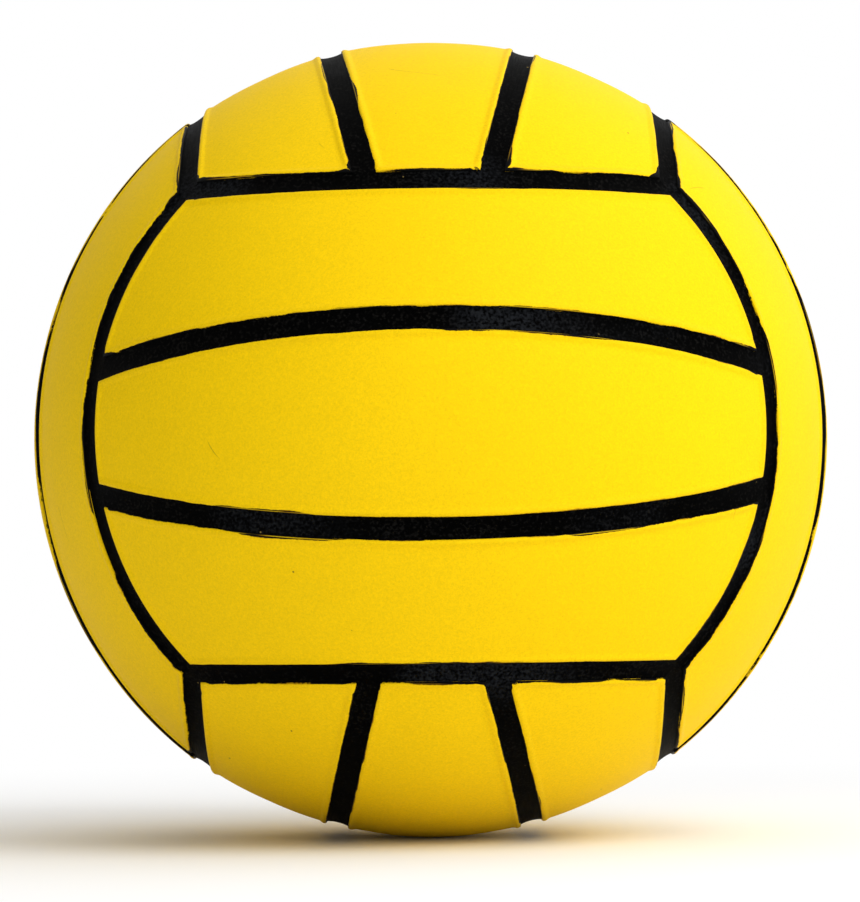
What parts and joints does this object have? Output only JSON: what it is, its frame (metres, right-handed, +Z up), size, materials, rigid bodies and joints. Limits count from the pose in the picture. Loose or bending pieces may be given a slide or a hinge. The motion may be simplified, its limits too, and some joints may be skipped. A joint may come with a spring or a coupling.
{
  "type": "water polo ball",
  "caption": "Inflated ball with grippy yellow rubber panels in parallel strips, black lined channels between them, a wound carcass and bladder inside, and a push-in needle valve.",
  "frame": {"origin": "centre of the ball", "axes": "+Z up, -Y out of the middle of the face that the picture shows, with its strips along X; +Y along the valve's axis, out of the ball"},
  "size_m": [0.221, 0.2208, 0.221],
  "materials": {
    "yellow_rubber": "matte",
    "black_channel": "matte",
    "carcass_rubber": "matte",
    "nylon_winding": "satin",
    "butyl_rubber": "satin",
    "valve_rubber": "satin"
  },
  "bodies": {
    "ball": {"back_channel_lower": "black_channel", "back_channel_upper": "black_channel", "back_edge_channel_lower": "black_channel", "back_edge_channel_upper": "black_channel", "back_panel_lower": "yellow_rubber", "back_panel_middle": "yellow_rubber", "back_panel_upper": "yellow_rubber", "bladder": "butyl_rubber", "bottom_channel_left": "black_channel", "bottom_channel_right": "black_channel", "bottom_edge_channel_left": "black_channel", "bottom_edge_channel_right": "black_channel", "bottom_panel_left": "yellow_rubber", "bottom_panel_middle": "yellow_rubber", "bottom_panel_right": "yellow_rubber", "carcass": "carcass_rubber", "front_channel_lower": "black_channel", "front_channel_upper": "black_channel", "front_edge_channel_lower": "black_channel", "front_edge_channel_upper": "black_channel", "front_panel_lower": "yellow_rubber", "front_panel_middle": "yellow_rubber", "front_panel_upper": "yellow_rubber", "left_channel_front": "black_channel", "left_channel_rear": "black_channel", "left_edge_channel_front": "black_channel", "left_edge_channel_rear": "black_channel", "left_panel_front": "yellow_rubber", "left_panel_middle": "yellow_rubber", "left_panel_rear": "yellow_rubber", "right_channel_front": "black_channel", "right_channel_rear": "black_channel", "right_edge_channel_front": "black_channel", "right_edge_channel_rear": "black_channel", "right_panel_front": "yellow_rubber", "right_panel_middle": "yellow_rubber", "right_panel_rear": "yellow_rubber", "top_channel_left": "black_channel", "top_channel_right": "black_channel", "top_edge_channel_left": "black_channel", "top_edge_channel_right": "black_channel", "top_panel_left": "yellow_rubber", "top_panel_middle": "yellow_rubber", "top_panel_right": "yellow_rubber", "valve_boot": "valve_rubber", "winding": "nylon_winding"},
    "plug": {"valve_plug": "valve_rubber"}
  },
  "joints": [
    {"name": "valve_plug_pull", "type": "slide", "parent": "ball", "child": "plug", "axis": [0, 1, 0], "range_m": [0, 0.02]}
  ]
}
